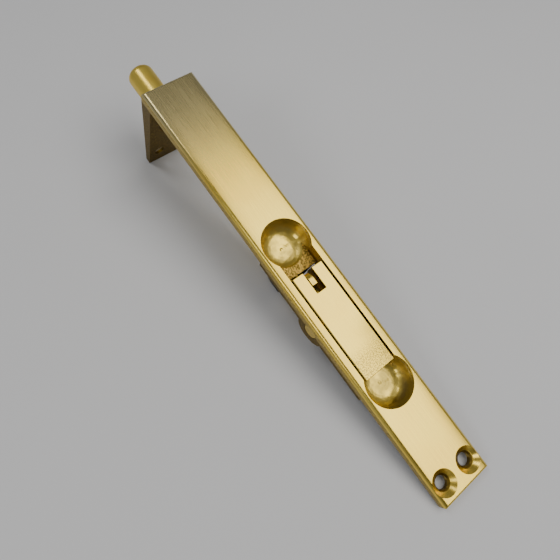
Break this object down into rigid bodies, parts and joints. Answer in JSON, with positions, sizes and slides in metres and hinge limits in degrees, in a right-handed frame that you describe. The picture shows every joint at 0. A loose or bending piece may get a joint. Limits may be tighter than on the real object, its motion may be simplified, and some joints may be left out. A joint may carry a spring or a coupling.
{
  "type": "lever flush bolt",
  "caption": "Brass lever-action flush bolt: a flush lever between finger scoops draws a round bolt in or out through an end plate.",
  "frame": {"origin": "on the face, midway across the plate's width, at the end that the bolt leaves", "axes": "+X along the face plate away from the bolt's tip, +Y across the plate, +Z out of the face"},
  "size_m": [0.179, 0.02, 0.041],
  "materials": {
    "cast_brass": "satin polished and fine brushed",
    "lever_brass": "satin polished and fine brushed",
    "rod_brass": "drawn and brushed",
    "plain_brass": "machined",
    "dark_steel": "blackened spring steel"
  },
  "bodies": {
    "body": {"face_casting": "cast_brass", "pivot_pin": "plain_brass", "guide_strap": "dark_steel", "strap_rivets": "dark_steel"},
    "lever": {"lever": "lever_brass", "drive_arm": "plain_brass", "arm_rivets": "plain_brass", "crank_pin": "plain_brass"},
    "bolt": {"rod": "rod_brass", "tail_plates": "plain_brass", "tail_rivets": "plain_brass"}
  },
  "joints": [
    {"name": "bolt_slide", "type": "slide", "parent": "body", "child": "bolt", "axis": [1, 0, 0], "range_m": [0, 0.0195]},
    {"name": "lever_swing", "type": "hinge", "parent": "body", "child": "lever", "pos_m": [0.0945, 0, -0.0044], "axis": [0, -1, 0], "range_deg": [0, 100]}
  ],
  "couplings": [
    {"joint": "lever_swing", "follows": "bolt_slide", "rad_per_m": 89.504}
  ]
}
